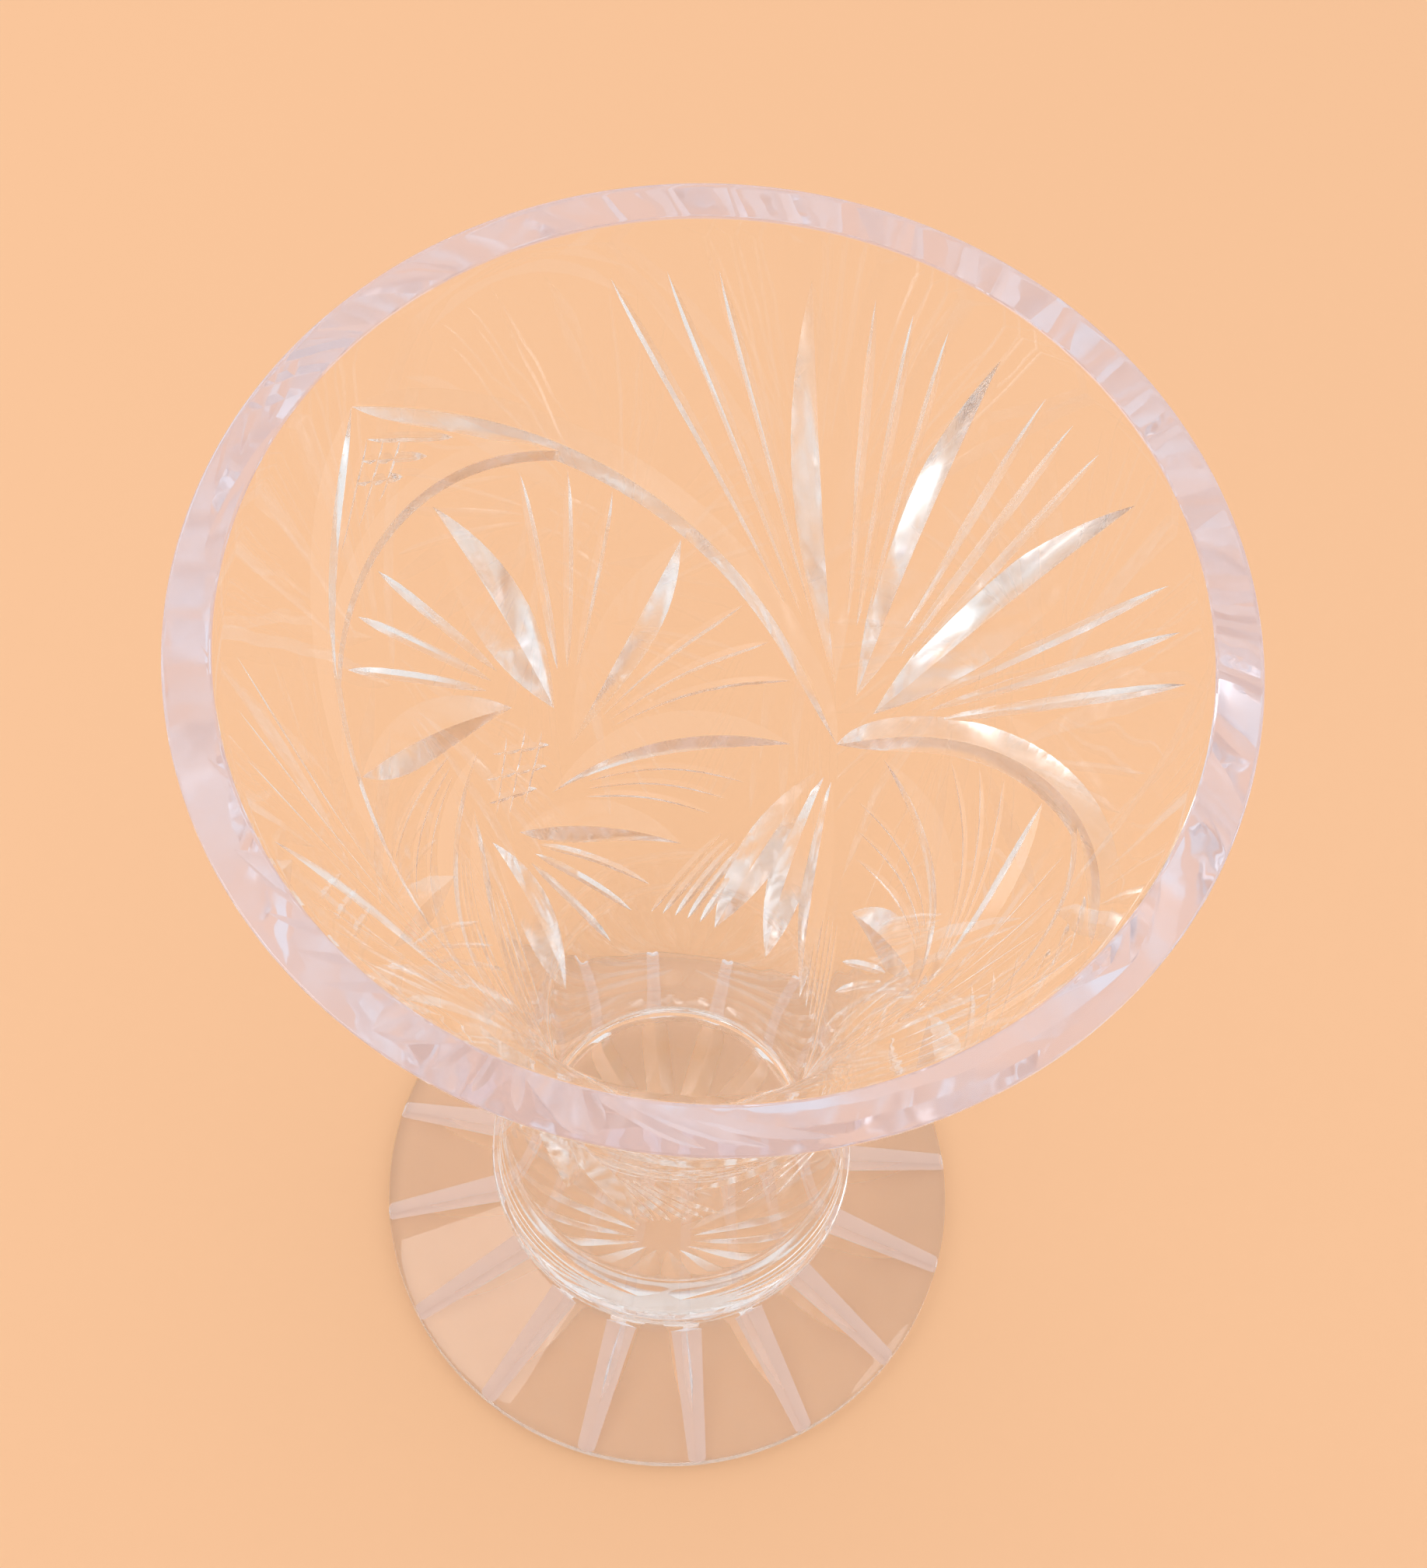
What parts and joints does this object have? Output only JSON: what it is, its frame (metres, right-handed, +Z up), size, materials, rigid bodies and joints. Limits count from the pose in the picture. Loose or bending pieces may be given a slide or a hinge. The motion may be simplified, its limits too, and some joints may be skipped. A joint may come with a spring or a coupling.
{
  "type": "cut crystal trumpet vase",
  "caption": "Flared cut crystal vase on a solid conical foot, with whirling medallions, fans, pointed arches and a mitred foot.",
  "frame": {"origin": "centre of the foot's underside, on the surface the vase stands on", "axes": "+Z up along the vase's axis, the two medallions face -Y and +Y, the two fans face +X and -X"},
  "size_m": [0.12, 0.12, 0.188],
  "materials": {
    "clear_crystal": "polished"
  },
  "bodies": {
    "root": {"bowl": "clear_crystal", "joining_wafer": "clear_crystal", "foot": "clear_crystal"}
  },
  "joints": []
}
